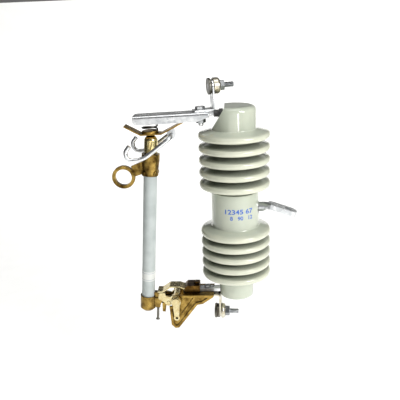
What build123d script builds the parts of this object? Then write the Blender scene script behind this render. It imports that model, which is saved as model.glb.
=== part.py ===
from build123d import *

import math
import os

# Distribution fuse cutout: porcelain insulator, top contact arm, hinge and a swinging fuse tube.
# Millimetres. +X towards the pole, +Z up along the insulator, +Y away from the viewer.
# The origin is the centre of the bolt hole on the upper face of the mounting strap.

# Place of the insulator in the strap's frame
axis_x = -100.3
strap_rise = 5.25

# Porcelain
sheds_per_stack = 5
upper_pitch = 22.9
lower_pitch = 21.1
stack_gap = 93.8
shed_radius = 66.5
shed_nose = 10.4
shed_nose_round = 4.9
shed_rise = 6.5
shed_under_rise = 1.5
shed_root_round = 2.5
core_radius = 41.0
waist_radius = 44.7
waist_neck = 8.0
waist_edge = 1.0
top_height = 54.0
top_round = 9.0
bottom_radius = 33.5
bottom_depth = 46.0
bottom_round = 4.0
cut_foot_height = 12.0
cut_lean = 59.5
cut_margin = 5.0

# Flat steel bars that leave the two caps
pin_thickness = 6.0
pin_width = 16.0
pocket_width = 26.0
pocket_height = 15.0
arm_tilt = 1.8
arm_bolt_x = -60.0
arm_drop = 11.6
pin_depth = 48.0
pin_tail = 25.0
cement_front = 34.0
bead_front = 24.3
bead_height = 10.6
lower_pin_start = -84.0
lower_pocket_end = -4.0
lower_bolt_x = -58.0

# Mounting strap
strap_tilt = 19.7
strap_width = 25.0
strap_thickness = 9.5
strap_end_shift = 5.4
strap_hole = 11.5
strap_reach = 35.0
shank_radius = 8.8
shank_start = 12.0
shank_end = 53.0
shank_pocket = 14.0

# Top channel
sheet = 2.5
channel_width = 40.0
channel_depth = 16.3
channel_front = 122.0
channel_back = 16.0
channel_back_depth = 9.0
channel_slant = 23.0
channel_corner = 6.0
bend_round = 3.0

# Bolts
bolt_radius = 4.75
bolt_clearance = 0.5
head_flats = 16.0
head_height = 5.5
nut_flats = 16.0
nut_height = 8.5
washer_radius = 9.5
washer_height = 1.5
bolt_tip = 5.5
tip_chamfer = 1.0

# Terminal straps and clamps
terminal_width = 25.0
terminal_thickness = 3.2
terminal_turn = 16.0
terminal_lower_turn = -5.0
terminal_foot_front = 12.5
terminal_leg = 25.7
terminal_bend = 5.0
terminal_end_round = 12.0
lower_leg = 27.2
lower_foot_front = 9.0
clamp_radius = 14.8
clamp_disc = 4.0
clamp_block_width = 15.0
clamp_block_height = 23.0
upper_clamp_front = 7.4
lower_clamp_front = 11.3
upper_cup_length = 13.0
lower_cup_length = 8.0
cup_round = 5.5
clamp_nut_flats = 17.0
clamp_nut_height = 8.0
thread_radius = 5.0
pitch_radius = 4.5
upper_stud_reach = 38.7
lower_stud_reach = 34.0
upper_clamp_level = 45.0
lower_clamp_level = -42.0

# Upper contact
strip_width = 24.0
strip_thickness = 2.5
strip_tip = (-141.6, -17.1)
strip_knee = (-111.5, -34.8)
strip_bend = (-73.0, -34.8)
strip_rise_x = -16.0
strip_round = 6.0
seat_x = -94.5
seat_radius = 15.5
seat_height = 5.0
seat_round = 1.5
spring_radius = 14.0
spring_wire = 3.0
spring_turns = 3.5
spring_clearance = 0.4

# Load-break hooks: across from the axis, sideways, and down from the top
hook_rod = 8.0
hook_bar = (-114.0, 51.0)
hook_bar_half = 30.0
hook_path = [
    (-164.0, 37.0, 87.5),
    (-193.5, 40.0, 90.0),
    (-194.5, 40.0, 72.0),
    (-187.0, 40.0, 62.5),
]
hook_rounds = [9.0, 40.0, 11.0, 9.0]
saddle_width = 18.0
saddle_wall = 3.5

# Fuse holder, in the tilted frame of the tube
tube_tilt = 4.62
tube_foot_x = -180.0
tube_foot_drop = 19.0
tube_radius = 13.0
bore_radius = 6.5
tube_bottom = -6.0
contact_gap = 0.4
cap_radius = 12.5
cap_neck_radius = 11.0
cap_dome = 9.6
cap_straight = 22.7
cap_gap = 4.0
ferrule_radius = 17.0
ferrule_low_radius = 15.2
ferrule_lid = 9.0
ferrule_length = 41.0
ferrule_band = 12.0
ring_across = -50.3
ring_drop = 7.0
ring_outer = 22.0
ring_inner = 15.5
ring_thickness = 8.0
ring_web = [(-37.0, 15.0), (-13.5, 26.5), (-13.5, 2.0), (-28.0, -4.0)]
web_half_width = 3.0
ferrule_pin_radius = 4.5
ferrule_pin_rise = 5.0
ferrule_pin_proud = 2.5
ferrule_pin_turns = (45, 135, 225, 315)
label_level = 51.0
label_height = 20.0
label_thickness = 0.4
cup_top = 16.0
cup_bottom = -16.0
cup_radius = 15.5
cup_chamfer = 5.0
lug_span = (12.0, 22.0)
lug_levels = (10.0, 24.0)
lug_half_width = 5.0
stud_across = 20.5
stud_seat = -8.0
stud_lug = 4.0
heel_across = 3.0
heel_rise = 2.0
link_stud_radius = 2.5
link_stud_end = -38.5
link_splay_radius = 4.3
link_splay_height = 3.0
link_nut_flats = 8.0
link_nut_height = 3.4
link_stud_grip = 6.0
cross_hole = (30.2, 4.4)
cross_hole_radius = 2.4
arm_top = 12.0
arm_half_width = 7.0
foot_outline = [(29.0, 2.0), (37.5, 2.0), (36.5, -18.0), (30.5, -18.0)]

# Hinge, in a side view with its level zero at the insulator's foot
pivot = (-119.5, -2.0)
toggle = (-137.0, -15.0)
journal_radius = 5.5
journal_fit = 0.1
journal_proud = 1.0
journal_head_radius = 8.0
journal_head = 2.5
barrel_radius = 7.5
barrel_half = 19.5
cheek_inner = 8.0
cheek_outer = 13.0
hub_radius = 7.0
ear = [
    (-157.0, -7.0),
    (-156.0, 3.5),
    (-152.5, 6.0),
    (-144.0, 6.0),
    (-141.0, -1.0),
    (-128.0, -4.0),
    (-137.0, -15.0),
    (-143.0, -16.0),
]
toggle_pin_radius = 3.5
toggle_pin_proud = 1.0
pin_running = 0.05
side_inner = 20.5
side_thickness = 5.5
side_recess = 2.5
inner_rib = [(-84.5, 3.0), (-81.0, 3.0), (-107.5, -36.0), (-111.0, -34.0)]
bridge_thickness = 4.0
bridge_top = 7.0
bridge_front = -106.0
bridge_back = -45.0
side_outline = [
    (-134.0, -17.5),
    (-131.5, -58.0),
    (-124.0, -65.5),
    (-116.5, -64.5),
    (-78.0, -13.5),
    (-67.0, -11.5),
    (-46.0, 3.0),
]
side_rim_width = 5.0
horn_front = -128.5
horn_top = -0.5
horn_foot = -17.5
block_front = -103.0
block_back = -73.0
block_height = 15.0
block_half_width = 14.0
block_chamfer = 5.0
arch_seat = 17.0
arch = [(-106.0, 17.0), (-113.0, 20.0), (-133.0, 20.0), (-148.0, 9.5), (-158.0, 9.5)]
arch_round = 5.0
arch_grip = 14.0
arch_width = 24.0
arch_thickness = 3.0
leaf_height = 5.0
leaf_reach = 4.0
block_bolt_x = -79.0
small_bolt_radius = 3.0
small_head_flats = 11.0
small_head_height = 4.5
small_nut_height = 5.0
small_bolt_tip = 2.0
lever_inner = 27.0
lever_thickness = 9.0
lever_arm_thickness = 6.0
lever_play = 0.5
lever_hub = 9.8
lever_root = 7.5
lever_tip = 4.5
lever_length = 36.5
lever_ring = 6.0
lever_hole = 2.6

os.makedirs("parts", exist_ok=True)


# Levels of the porcelain, from the nose of its first shed
half_nose = shed_nose / 2
upper_levels = [-upper_pitch * i for i in range(sheds_per_stack)]
lower_first = upper_levels[-1] - stack_gap
lower_levels = [lower_first - lower_pitch * i for i in range(sheds_per_stack)]
waist_top = upper_levels[-1] - half_nose - waist_neck
waist_bottom = lower_first + half_nose + shed_rise
bottom_level = lower_levels[-1] - half_nose - bottom_depth
shank_level = (waist_top + waist_bottom) / 2
shed_one_z = strap_rise - shank_level
pin_middle = -pin_thickness / 2
lower_pin_middle = bridge_top + pin_thickness / 2
channel_low = sheet - channel_depth


def side_frame(across, up, tilt=0.0):
    """Upright plane through a point in the insulator's coordinates, X raised by tilt degrees."""
    angle = math.radians(tilt)
    return Plane(
        origin=(axis_x + across, 0, shed_one_z + up),
        x_dir=(math.cos(angle), 0, math.sin(angle)),
        z_dir=(0, -1, 0),
    )


def level(frame, across, up, turn=0.0):
    """Plane square to a side frame's upright, turned about that upright by turn degrees."""
    angle = math.radians(turn)
    along = frame.x_dir * math.cos(angle) + Vector(0, 1, 0) * math.sin(angle)
    return Plane(origin=frame.from_local_coords((across, up, 0)), x_dir=along, z_dir=frame.y_dir)


def cross(frame, across, up):
    """Plane across a side frame, seen along its X, with Y to the right and its upright up."""
    point = frame.from_local_coords((across, up, 0))
    return Plane(origin=point, x_dir=(0, 1, 0), z_dir=frame.x_dir)


def across_pin(turn, along, start):
    """Plane square to a radius of the tube, turned about the tube, start from its axis."""
    flat = level(holder, 0, along, turn)
    return Plane(origin=flat.origin + flat.x_dir * start, x_dir=flat.y_dir, z_dir=flat.x_dir)


def finish(piece, name):
    """Label a finished piece and write it."""
    piece.label = name
    export_step(piece, f"parts/{name}.step")


# Frames of the sub-assemblies
insulator = side_frame(0, 0)
arm = side_frame(arm_bolt_x, top_height - arm_drop, arm_tilt)
hinge = side_frame(0, bottom_level)
holder = side_frame(tube_foot_x, bottom_level - tube_foot_drop, -tube_tilt)
strap_angle = math.radians(strap_tilt)
strap = Plane(
    origin=(0, 0, 0),
    x_dir=(math.cos(strap_angle), 0, -math.sin(strap_angle)),
    z_dir=(0, -1, 0),
)
insulator_axis = Axis(insulator.origin, (0, 0, 1))
tube_axis = Axis(holder.origin, holder.y_dir)

# The tube is as long as its cap needs to meet the contact strip, less the gap
dome_radius = (cap_radius**2 + cap_dome**2) / (2 * cap_dome)
contact_level = strip_knee[1] - contact_gap - arm.to_local_coords(holder.origin).Y
dome_middle = (contact_level - dome_radius) / math.cos(math.radians(tube_tilt + arm_tilt))
cap_top = dome_middle + dome_radius
cap_shoulder = cap_top - cap_dome
cap_bottom = cap_shoulder - cap_straight
ferrule_top = cap_bottom - cap_gap
ferrule_bottom = ferrule_top - ferrule_length
tube_top = ferrule_top - ferrule_lid


def shed_corners(nose_level, under_radius):
    """Corners of one shed's section with their rounds, from its upper root to its lower root."""
    return [
        ((core_radius, nose_level + half_nose + shed_rise), shed_root_round),
        ((shed_radius, nose_level + half_nose), shed_nose_round),
        ((shed_radius, nose_level - half_nose), shed_nose_round),
        ((under_radius, nose_level - half_nose + shed_under_rise), shed_root_round),
    ]


# Porcelain body
section = [((core_radius, top_height), top_round)]
for nose_level in upper_levels:
    section += shed_corners(nose_level, core_radius)
section += [
    ((core_radius, waist_top + waist_edge), waist_edge),
    ((waist_radius, waist_top), waist_edge),
    ((waist_radius, waist_bottom), shed_root_round),
]
section += shed_corners(lower_levels[0], core_radius)[1:]
for nose_level in lower_levels[1:-1]:
    section += shed_corners(nose_level, core_radius)
section += shed_corners(lower_levels[-1], bottom_radius)
section += [((bottom_radius, bottom_level), bottom_round)]
section_points = [(0, top_height)] + [corner for corner, _ in section] + [(0, bottom_level)]
cut_slope = math.tan(math.radians(cut_lean))
cut_edge = core_radius + cut_margin
cut_top = top_height + cut_margin

# Wedge cut off the top cap on the side of the contact arm
with BuildPart() as cap_cut:
    with BuildSketch(insulator):
        with BuildLine():
            Polyline(
                (-core_radius, cut_foot_height),
                (-cut_edge, cut_foot_height),
                (-cut_edge, cut_top),
                ((cut_top - cut_foot_height) / cut_slope - core_radius, cut_top),
                close=True,
            )
        make_face()
    extrude(amount=shed_radius, both=True)

with BuildPart() as porcelain_body:
    with BuildSketch(insulator):
        with BuildLine():
            outline = FilletPolyline(*section_points, radius=[rounding for _, rounding in section])
            Line(outline @ 1, outline @ 0)
        make_face()
    revolve(axis=insulator_axis)
    add(cap_cut.part, mode=Mode.SUBTRACT)
    with BuildSketch(cross(arm, pin_depth, pin_middle)):
        SlotOverall(pocket_width, pocket_height)
    extrude(amount=-pin_depth - core_radius, mode=Mode.SUBTRACT)
    with BuildSketch(cross(hinge, lower_pocket_end, lower_pin_middle)):
        SlotOverall(pocket_width, pocket_height)
    extrude(amount=-core_radius, mode=Mode.SUBTRACT)
    with BuildSketch(cross(insulator, shank_start, shank_level)):
        Circle(shank_pocket)
    extrude(amount=waist_radius, mode=Mode.SUBTRACT)
finish(porcelain_body.part, "porcelain_body")

# Flat bars
with BuildPart() as upper_pin:
    with BuildSketch(cross(arm, -pin_tail, pin_middle)):
        Rectangle(pin_width, pin_thickness)
    extrude(amount=pin_tail + pin_depth)
    with BuildSketch(level(arm, 0, 0)):
        Circle(bolt_radius + bolt_clearance)
    extrude(amount=-pin_thickness, mode=Mode.SUBTRACT)
finish(upper_pin.part, "upper_pin")

with BuildPart() as lower_pin:
    with BuildSketch(cross(hinge, lower_pin_start, lower_pin_middle)):
        Rectangle(pin_width, pin_thickness)
    extrude(amount=lower_pocket_end - lower_pin_start)
    with BuildSketch(level(hinge, 0, bridge_top)):
        with Locations((lower_bolt_x, 0), (block_bolt_x, 0)):
            Circle(small_bolt_radius + bolt_clearance)
    extrude(amount=pin_thickness, mode=Mode.SUBTRACT)
finish(lower_pin.part, "lower_pin")

# Mounting strap
with BuildPart() as mounting_strap:
    with BuildSketch(level(strap, 0, 0)):
        with Locations((strap_end_shift, 0)):
            Rectangle(strap_reach + strap_end_shift, strap_width, align=(Align.MAX, Align.CENTER))
            Circle(strap_width / 2)
    extrude(amount=-strap_thickness)
    with BuildSketch(cross(insulator, shank_start, shank_level)):
        Circle(shank_radius)
    extrude(amount=shank_end - shank_start)
    with BuildSketch(cross(insulator, shank_end, shank_level)):
        Circle(shank_radius)
    with BuildSketch(cross(strap, -strap_reach, -strap_thickness / 2)):
        Rectangle(strap_width, strap_thickness)
    loft()
    with BuildSketch(level(strap, 0, 0)):
        Circle(strap_hole / 2)
    extrude(amount=-strap_thickness, mode=Mode.SUBTRACT)
finish(mounting_strap.part, "mounting_strap")

# Cement that fills the pockets round the bars and the shank
with BuildPart() as upper_cement:
    with BuildSketch(cross(arm, cement_front, pin_middle)):
        SlotOverall(pocket_width, pocket_height)
    extrude(amount=pin_depth - cement_front)
    with BuildSketch(cross(arm, bead_front, pin_middle)):
        SlotOverall(pocket_width, bead_height)
    extrude(amount=cement_front - bead_front)
    with BuildSketch(cross(arm, bead_front, pin_middle)):
        Rectangle(pin_width, pin_thickness)
    extrude(amount=pin_depth - bead_front, mode=Mode.SUBTRACT)
finish(upper_cement.part, "upper_cement")

with BuildPart() as lower_cement:
    with BuildSketch(level(hinge, 0, 0)):
        Circle(bottom_radius)
    extrude(amount=bottom_depth)
    with BuildSketch(cross(hinge, lower_pocket_end, lower_pin_middle)):
        SlotOverall(pocket_width, pocket_height)
    extrude(amount=-core_radius, mode=Mode.INTERSECT)
    with BuildSketch(cross(hinge, lower_pocket_end, lower_pin_middle)):
        Rectangle(pin_width, pin_thickness)
    extrude(amount=-core_radius, mode=Mode.SUBTRACT)
finish(lower_cement.part, "lower_cement")

with BuildPart() as waist_cement:
    with BuildSketch(level(insulator, 0, shank_level - shank_pocket)):
        Circle(waist_radius)
    extrude(amount=2 * shank_pocket)
    with BuildSketch(cross(insulator, shank_start, shank_level)):
        Circle(shank_pocket)
        Circle(shank_radius, mode=Mode.SUBTRACT)
    extrude(amount=waist_radius, mode=Mode.INTERSECT)
finish(waist_cement.part, "waist_cement")

# Top channel: a hood of inverted U section, its sides cut shallower towards the insulator
with BuildPart() as top_channel:
    with BuildSketch(cross(arm, -channel_front, sheet)):
        Rectangle(channel_width, channel_depth, align=(Align.CENTER, Align.MAX))
        fillet(vertices().group_by(Axis.Y)[-1], bend_round + sheet)
        with Locations((0, -sheet)):
            Rectangle(
                channel_width - 2 * sheet,
                channel_depth,
                align=(Align.CENTER, Align.MAX),
                mode=Mode.SUBTRACT,
            )
    extrude(amount=channel_front + channel_back)
    with BuildSketch(arm):
        with BuildLine():
            Polyline(
                (-channel_front, channel_low),
                (-channel_front, sheet),
                (channel_back, sheet),
                (channel_back, sheet - channel_back_depth),
                (channel_back - channel_slant, channel_low),
                close=True,
            )
        make_face()
        fillet(vertices().group_by(Axis.X)[0].sort_by(Axis.Y)[0], channel_corner)
    extrude(amount=channel_width, both=True, mode=Mode.INTERSECT)
    with BuildSketch(level(arm, 0, 0)):
        Circle(bolt_radius + bolt_clearance)
    extrude(amount=sheet, mode=Mode.SUBTRACT)
finish(top_channel.part, "top_channel")


def turned(frame, across, up, turn):
    """Side frame through a point of another, turned about its upright by turn degrees."""
    flat = level(frame, across, up, turn)
    return Plane(origin=flat.origin, x_dir=flat.x_dir, z_dir=flat.x_dir.cross(flat.z_dir))


def bent_strip(frame, points, rounds, thickness, width):
    """Flat strip bent along its right-hand face's side view, centred on the side plane."""
    with BuildPart() as strip:
        with BuildSketch(frame):
            with BuildLine():
                face_line = FilletPolyline(*points, radius=rounds)
                offset(face_line, amount=thickness, side=Side.LEFT, closed=True)
            make_face()
        extrude(amount=width / 2, both=True)
    return strip.part


# Upper contact: bronze strip with a lead-in, bolted under the bar
strip_seat = -pin_thickness - strip_thickness
contact_face = [
    strip_tip,
    strip_knee,
    strip_bend,
    (strip_rise_x, strip_seat),
    (channel_back, strip_seat),
]
with BuildPart() as upper_contact_strip:
    add(bent_strip(arm, contact_face, strip_round, strip_thickness, strip_width))
    with BuildSketch(level(arm, 0, strip_seat)):
        Circle(bolt_radius + bolt_clearance)
    extrude(amount=strip_thickness, mode=Mode.SUBTRACT)
finish(upper_contact_strip.part, "upper_contact_strip")

seat_level = strip_knee[1] + strip_thickness
with BuildPart() as spring_seat:
    with BuildSketch(level(arm, seat_x, seat_level)):
        Circle(seat_radius)
    extrude(amount=seat_height)
    fillet(edges().filter_by(GeomType.CIRCLE).sort_by(Axis.Z)[-1], seat_round)
finish(spring_seat.part, "spring_seat")

spring_foot = seat_level + seat_height + spring_wire / 2 + spring_clearance
spring_height = -spring_wire / 2 - spring_clearance - spring_foot
with BuildPart() as backup_spring:
    with BuildLine(level(arm, seat_x, spring_foot)):
        coil = Helix(pitch=spring_height / spring_turns, height=spring_height, radius=spring_radius)
    with BuildSketch(Plane(coil @ 0, z_dir=coil % 0)):
        Circle(spring_wire / 2)
    sweep()
finish(backup_spring.part, "backup_spring")

# Terminal straps and their clamps
with BuildPart() as upper_terminal_strap:
    upper_leg_frame = turned(arm, 0, 0, terminal_turn)
    upper_leg_top = upper_clamp_level + terminal_end_round
    leg_line = [
        (-terminal_foot_front, sheet),
        (terminal_leg, sheet),
        (terminal_leg, upper_leg_top),
    ]
    add(bent_strip(upper_leg_frame, leg_line, terminal_bend, terminal_thickness, terminal_width))
    with BuildSketch(level(arm, 0, sheet)):
        Circle(bolt_radius + bolt_clearance)
    extrude(amount=terminal_thickness, mode=Mode.SUBTRACT)
    with BuildSketch(cross(upper_leg_frame, terminal_leg, upper_clamp_level)):
        Circle(pitch_radius + bolt_clearance)
    extrude(amount=-terminal_thickness, mode=Mode.SUBTRACT)
    leg_edges = edges().filter_by(Axis(upper_leg_frame.origin, upper_leg_frame.x_dir))
    fillet(leg_edges.sort_by(Axis.Z)[-2:], terminal_end_round)
finish(upper_terminal_strap.part, "upper_terminal_strap")


def clamp_pieces(frame, leg, clamp_level, front, cup_length, reach, name):
    """Conductor clamp round a stud through a terminal strap: disc, cup, nut and stud."""
    left_face = leg - terminal_thickness
    disc_start = leg - terminal_thickness / 2 - front
    nut_end = leg + cup_length + clamp_nut_height
    with BuildPart() as disc:
        with BuildSketch(cross(frame, disc_start, clamp_level)):
            Circle(clamp_radius)
        extrude(amount=clamp_disc)
        with BuildSketch(cross(frame, disc_start + clamp_disc, clamp_level)):
            Rectangle(clamp_block_width, clamp_block_height)
        extrude(amount=left_face - disc_start - clamp_disc)
        with BuildSketch(cross(frame, disc_start, clamp_level)):
            Circle(pitch_radius)
        extrude(amount=left_face - disc_start, mode=Mode.SUBTRACT)
    finish(disc.part, f"{name}_clamp_disc")
    with BuildPart() as cup:
        with BuildSketch(cross(frame, leg, clamp_level)):
            Circle(clamp_radius)
        extrude(amount=cup_length)
        rims = edges().filter_by(GeomType.CIRCLE).sort_by(Axis(frame.origin, frame.x_dir))
        fillet(rims[-1], cup_round)
        with BuildSketch(cross(frame, leg, clamp_level)):
            Circle(pitch_radius + bolt_clearance)
        extrude(amount=cup_length, mode=Mode.SUBTRACT)
    finish(cup.part, f"{name}_clamp_cup")
    with BuildPart() as nut:
        with BuildSketch(cross(frame, leg + cup_length, clamp_level)):
            RegularPolygon(clamp_nut_flats / 2, 6, major_radius=False)
            Circle(pitch_radius, mode=Mode.SUBTRACT)
        extrude(amount=clamp_nut_height)
    finish(nut.part, f"{name}_clamp_nut")
    with BuildPart() as stud:
        with BuildSketch(cross(frame, disc_start, clamp_level)):
            Circle(pitch_radius)
        extrude(amount=nut_end - disc_start)
        with BuildSketch(cross(frame, nut_end, clamp_level)):
            Circle(thread_radius)
        extrude(amount=leg + reach - nut_end)
        rims = edges().filter_by(GeomType.CIRCLE).sort_by(Axis(frame.origin, frame.x_dir))
        chamfer(rims[-1], tip_chamfer)
    finish(stud.part, f"{name}_clamp_stud")


clamp_pieces(
    upper_leg_frame,
    terminal_leg,
    upper_clamp_level,
    upper_clamp_front,
    upper_cup_length,
    upper_stud_reach,
    "upper",
)


# Load-break hooks: one rod, a bar across under the contact and a curled arm on each side
def hook_point(across, side, drop):
    """Point of the rod at a drop below the top of the porcelain."""
    return (axis_x + across, side, shed_one_z + top_height - drop)


bar_across, bar_drop = hook_bar
near_side = [hook_point(bar_across, -hook_bar_half, bar_drop)]
near_side += [hook_point(across, -side, drop) for across, side, drop in hook_path]
far_side = [(x, -y, z) for x, y, z in near_side]
rod_points = near_side[::-1] + far_side
rod_rounds = hook_rounds[::-1] + hook_rounds
with BuildPart() as loadbreak_hooks:
    with BuildLine():
        rod_line = FilletPolyline(*rod_points, radius=rod_rounds)
    with BuildSketch(Plane(rod_line @ 0, z_dir=rod_line % 0)):
        Circle(hook_rod / 2)
    sweep()
finish(loadbreak_hooks.part, "loadbreak_hooks")

saddle_place = arm.to_local_coords(Vector(*hook_point(bar_across, 0, bar_drop)))
saddle_radius = hook_rod / 2 + saddle_wall
strip_slope = (strip_seat - strip_bend[1]) / (strip_rise_x - strip_bend[0])
saddle_front = saddle_place.X - saddle_radius
saddle_back = saddle_place.X + saddle_radius
with BuildPart() as hook_saddle:
    with BuildSketch(arm):
        with BuildLine():
            Polyline(
                (saddle_front, saddle_place.Y),
                (saddle_front, strip_bend[1] + strip_slope * (saddle_front - strip_bend[0])),
                (saddle_back, strip_bend[1] + strip_slope * (saddle_back - strip_bend[0])),
                (saddle_back, saddle_place.Y),
                close=True,
            )
        make_face()
        with Locations((saddle_place.X, saddle_place.Y)):
            Circle(saddle_radius)
            Circle(hook_rod / 2, mode=Mode.SUBTRACT)
    extrude(amount=saddle_width / 2, both=True)
finish(hook_saddle.part, "hook_saddle")

# Fuse tube, open below and closed above by the contact cap
with BuildPart() as fuse_tube:
    with BuildSketch(level(holder, 0, tube_bottom)):
        Circle(tube_radius)
        Circle(bore_radius, mode=Mode.SUBTRACT)
    extrude(amount=tube_top - tube_bottom)
finish(fuse_tube.part, "fuse_tube")

with BuildPart() as tube_label:
    with BuildSketch(level(holder, 0, label_level)):
        Circle(tube_radius + label_thickness)
        Circle(tube_radius, mode=Mode.SUBTRACT)
    extrude(amount=label_height)
finish(tube_label.part, "tube_label")

quarter_turn = 90
dome_start = math.degrees(math.asin((cap_shoulder - dome_middle) / dome_radius))
with BuildPart() as contact_cap:
    with BuildSketch(holder):
        with BuildLine():
            Polyline(
                (0, tube_top),
                (cap_neck_radius, tube_top),
                (cap_neck_radius, cap_bottom),
                (cap_radius, cap_bottom),
                (cap_radius, cap_shoulder),
            )
            CenterArc((0, dome_middle), dome_radius, dome_start, quarter_turn - dome_start)
            Line((0, cap_top), (0, tube_top))
        make_face()
    revolve(axis=tube_axis)
finish(contact_cap.part, "contact_cap")

with BuildPart() as upper_ferrule:
    with BuildSketch(holder):
        with BuildLine():
            Polyline(
                (tube_radius, ferrule_bottom),
                (ferrule_low_radius, ferrule_bottom),
                (ferrule_low_radius, ferrule_bottom + ferrule_band),
                (ferrule_radius, ferrule_top - ferrule_band),
                (ferrule_radius, ferrule_top),
                (cap_neck_radius, ferrule_top),
                (cap_neck_radius, tube_top),
                (tube_radius, tube_top),
                close=True,
            )
        make_face()
    revolve(axis=tube_axis)
    # Pull ring in the side plane, on a web
    with BuildSketch(holder):
        with BuildLine():
            Polyline(*[(x, ferrule_bottom + y) for x, y in ring_web], close=True)
        make_face()
    extrude(amount=web_half_width, both=True)
    with BuildSketch(holder):
        with Locations((ring_across, ferrule_bottom - ring_drop)):
            Circle(ring_outer)
    extrude(amount=ring_thickness / 2, both=True)
    with BuildSketch(holder):
        with Locations((ring_across, ferrule_bottom - ring_drop)):
            Circle(ring_inner)
    extrude(amount=ring_thickness, both=True, mode=Mode.SUBTRACT)
    # Pins that hold the ferrule on the tube
    for turn in ferrule_pin_turns:
        with BuildSketch(across_pin(turn, ferrule_bottom + ferrule_pin_rise, tube_radius)):
            Circle(ferrule_pin_radius)
        extrude(amount=ferrule_low_radius + ferrule_pin_proud - tube_radius)
    with BuildSketch(level(holder, 0, ferrule_bottom)):
        Circle(tube_radius)
    extrude(amount=tube_top - ferrule_bottom, mode=Mode.SUBTRACT)
finish(upper_ferrule.part, "upper_ferrule")

# Lower ferrule: cup, arm to the toggle pin, foot and stop lug
toggle_place = holder.to_local_coords(hinge.from_local_coords((*toggle, 0)))
toggle_across = toggle_place.X
toggle_along = toggle_place.Y
with BuildPart() as lower_ferrule:
    with BuildSketch(level(holder, 0, cup_bottom)):
        Circle(cup_radius)
    extrude(amount=cup_top - cup_bottom)
    chamfer(edges().filter_by(GeomType.CIRCLE).sort_by(Axis.Z)[0], cup_chamfer)
    with BuildSketch(holder):
        with BuildLine():
            Polyline(
                (0, stud_seat),
                (stud_across + stud_lug, stud_seat),
                (stud_across + stud_lug + heel_across, toggle_along - hub_radius + heel_rise),
                (toggle_across, toggle_along - hub_radius),
                (toggle_across, toggle_along + hub_radius),
                (cup_radius, arm_top),
                (0, arm_top),
                close=True,
            )
        make_face()
        with Locations((toggle_across, toggle_along)):
            Circle(hub_radius)
    extrude(amount=arm_half_width, both=True)
    with BuildSketch(holder):
        with BuildLine():
            Polyline(*foot_outline, close=True)
        make_face()
    extrude(amount=lug_half_width, both=True)
    with BuildSketch(holder):
        with Locations((sum(lug_span) / 2, sum(lug_levels) / 2)):
            Rectangle(lug_span[1] - lug_span[0], lug_levels[1] - lug_levels[0])
    extrude(amount=lug_half_width, both=True)
    with BuildSketch(level(holder, 0, tube_bottom)):
        Circle(tube_radius)
    extrude(amount=lug_levels[1] + cup_top, mode=Mode.SUBTRACT)
    with BuildSketch(level(holder, 0, cup_bottom)):
        Circle(bore_radius)
    extrude(amount=tube_bottom - cup_bottom, mode=Mode.SUBTRACT)
    with BuildSketch(holder):
        with Locations((toggle_across, toggle_along)):
            Circle(toggle_pin_radius + pin_running)
        with Locations(cross_hole):
            Circle(cross_hole_radius)
    extrude(amount=arm_half_width, both=True, mode=Mode.SUBTRACT)
    with BuildSketch(level(holder, stud_across, stud_seat)):
        Circle(link_stud_radius)
    extrude(amount=link_stud_grip, mode=Mode.SUBTRACT)
finish(lower_ferrule.part, "lower_ferrule")

with BuildPart() as link_stud:
    with BuildSketch(level(holder, stud_across, link_stud_end)):
        Circle(link_stud_radius)
    extrude(amount=stud_seat + link_stud_grip - link_stud_end)
    with BuildSketch(level(holder, stud_across, link_stud_end)):
        Circle(link_splay_radius)
    with BuildSketch(level(holder, stud_across, link_stud_end + link_splay_height)):
        Circle(link_stud_radius)
    loft()
finish(link_stud.part, "link_stud")

with BuildPart() as link_nut:
    with BuildSketch(level(holder, stud_across, stud_seat)):
        RegularPolygon(link_nut_flats / 2, 6, major_radius=False)
        Circle(link_stud_radius, mode=Mode.SUBTRACT)
    extrude(amount=-link_nut_height)
finish(link_nut.part, "link_nut")

# Trunnion: two cheeks with ears, a barrel and a journal at each end
with BuildPart() as trunnion:
    for outward in (1, -1):
        with BuildSketch(hinge.offset(outward * cheek_inner)):
            with Locations(toggle):
                Circle(hub_radius)
            with Locations(pivot):
                Circle(barrel_radius)
            make_hull()
            with BuildLine():
                Polyline(*ear, close=True)
            make_face()
        extrude(amount=outward * (cheek_outer - cheek_inner))
    with BuildSketch(hinge):
        with Locations(pivot):
            Circle(barrel_radius)
    extrude(amount=barrel_half, both=True)
    with BuildSketch(hinge):
        with Locations(pivot):
            Circle(journal_radius)
    extrude(amount=side_inner + side_thickness + journal_proud, both=True)
    with BuildSketch(hinge.offset(lever_inner)):
        with Locations(pivot):
            Circle(journal_radius)
    extrude(amount=lever_thickness + lever_play)
    with BuildSketch(hinge.offset(lever_inner + lever_thickness + lever_play)):
        with Locations(pivot):
            Circle(journal_head_radius)
    extrude(amount=journal_head)
    with BuildSketch(hinge):
        with Locations(toggle):
            Circle(toggle_pin_radius)
    extrude(amount=cheek_outer, both=True, mode=Mode.SUBTRACT)
finish(trunnion.part, "trunnion")

with BuildPart() as toggle_pin:
    with BuildSketch(hinge):
        with Locations(toggle):
            Circle(toggle_pin_radius)
    extrude(amount=cheek_outer + toggle_pin_proud, both=True)
finish(toggle_pin.part, "toggle_pin")

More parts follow.
